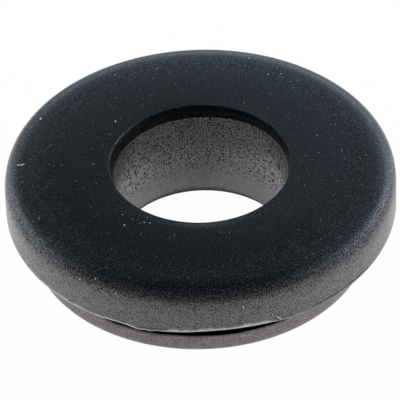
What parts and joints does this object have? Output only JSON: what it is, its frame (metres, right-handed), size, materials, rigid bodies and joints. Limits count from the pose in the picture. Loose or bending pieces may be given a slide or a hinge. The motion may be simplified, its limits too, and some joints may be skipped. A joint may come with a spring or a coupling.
{
  "type": "rubber grommet",
  "caption": "Round black rubber grommet that lines a hole in a thin panel and guards a cable passing through its bore.",
  "frame": {"origin": "centre of the flat underside of the lower flange, on the bore's axis", "axes": "+Z along the bore, from the smaller lower flange towards the thick rounded upper flange; X and Y are free, because the part is round"},
  "size_m": [0.0226, 0.0224, 0.0064],
  "materials": {
    "black_rubber": "moulded, dull satin with a fine grain"
  },
  "bodies": {
    "root": {"grommet": "black_rubber"}
  },
  "joints": []
}
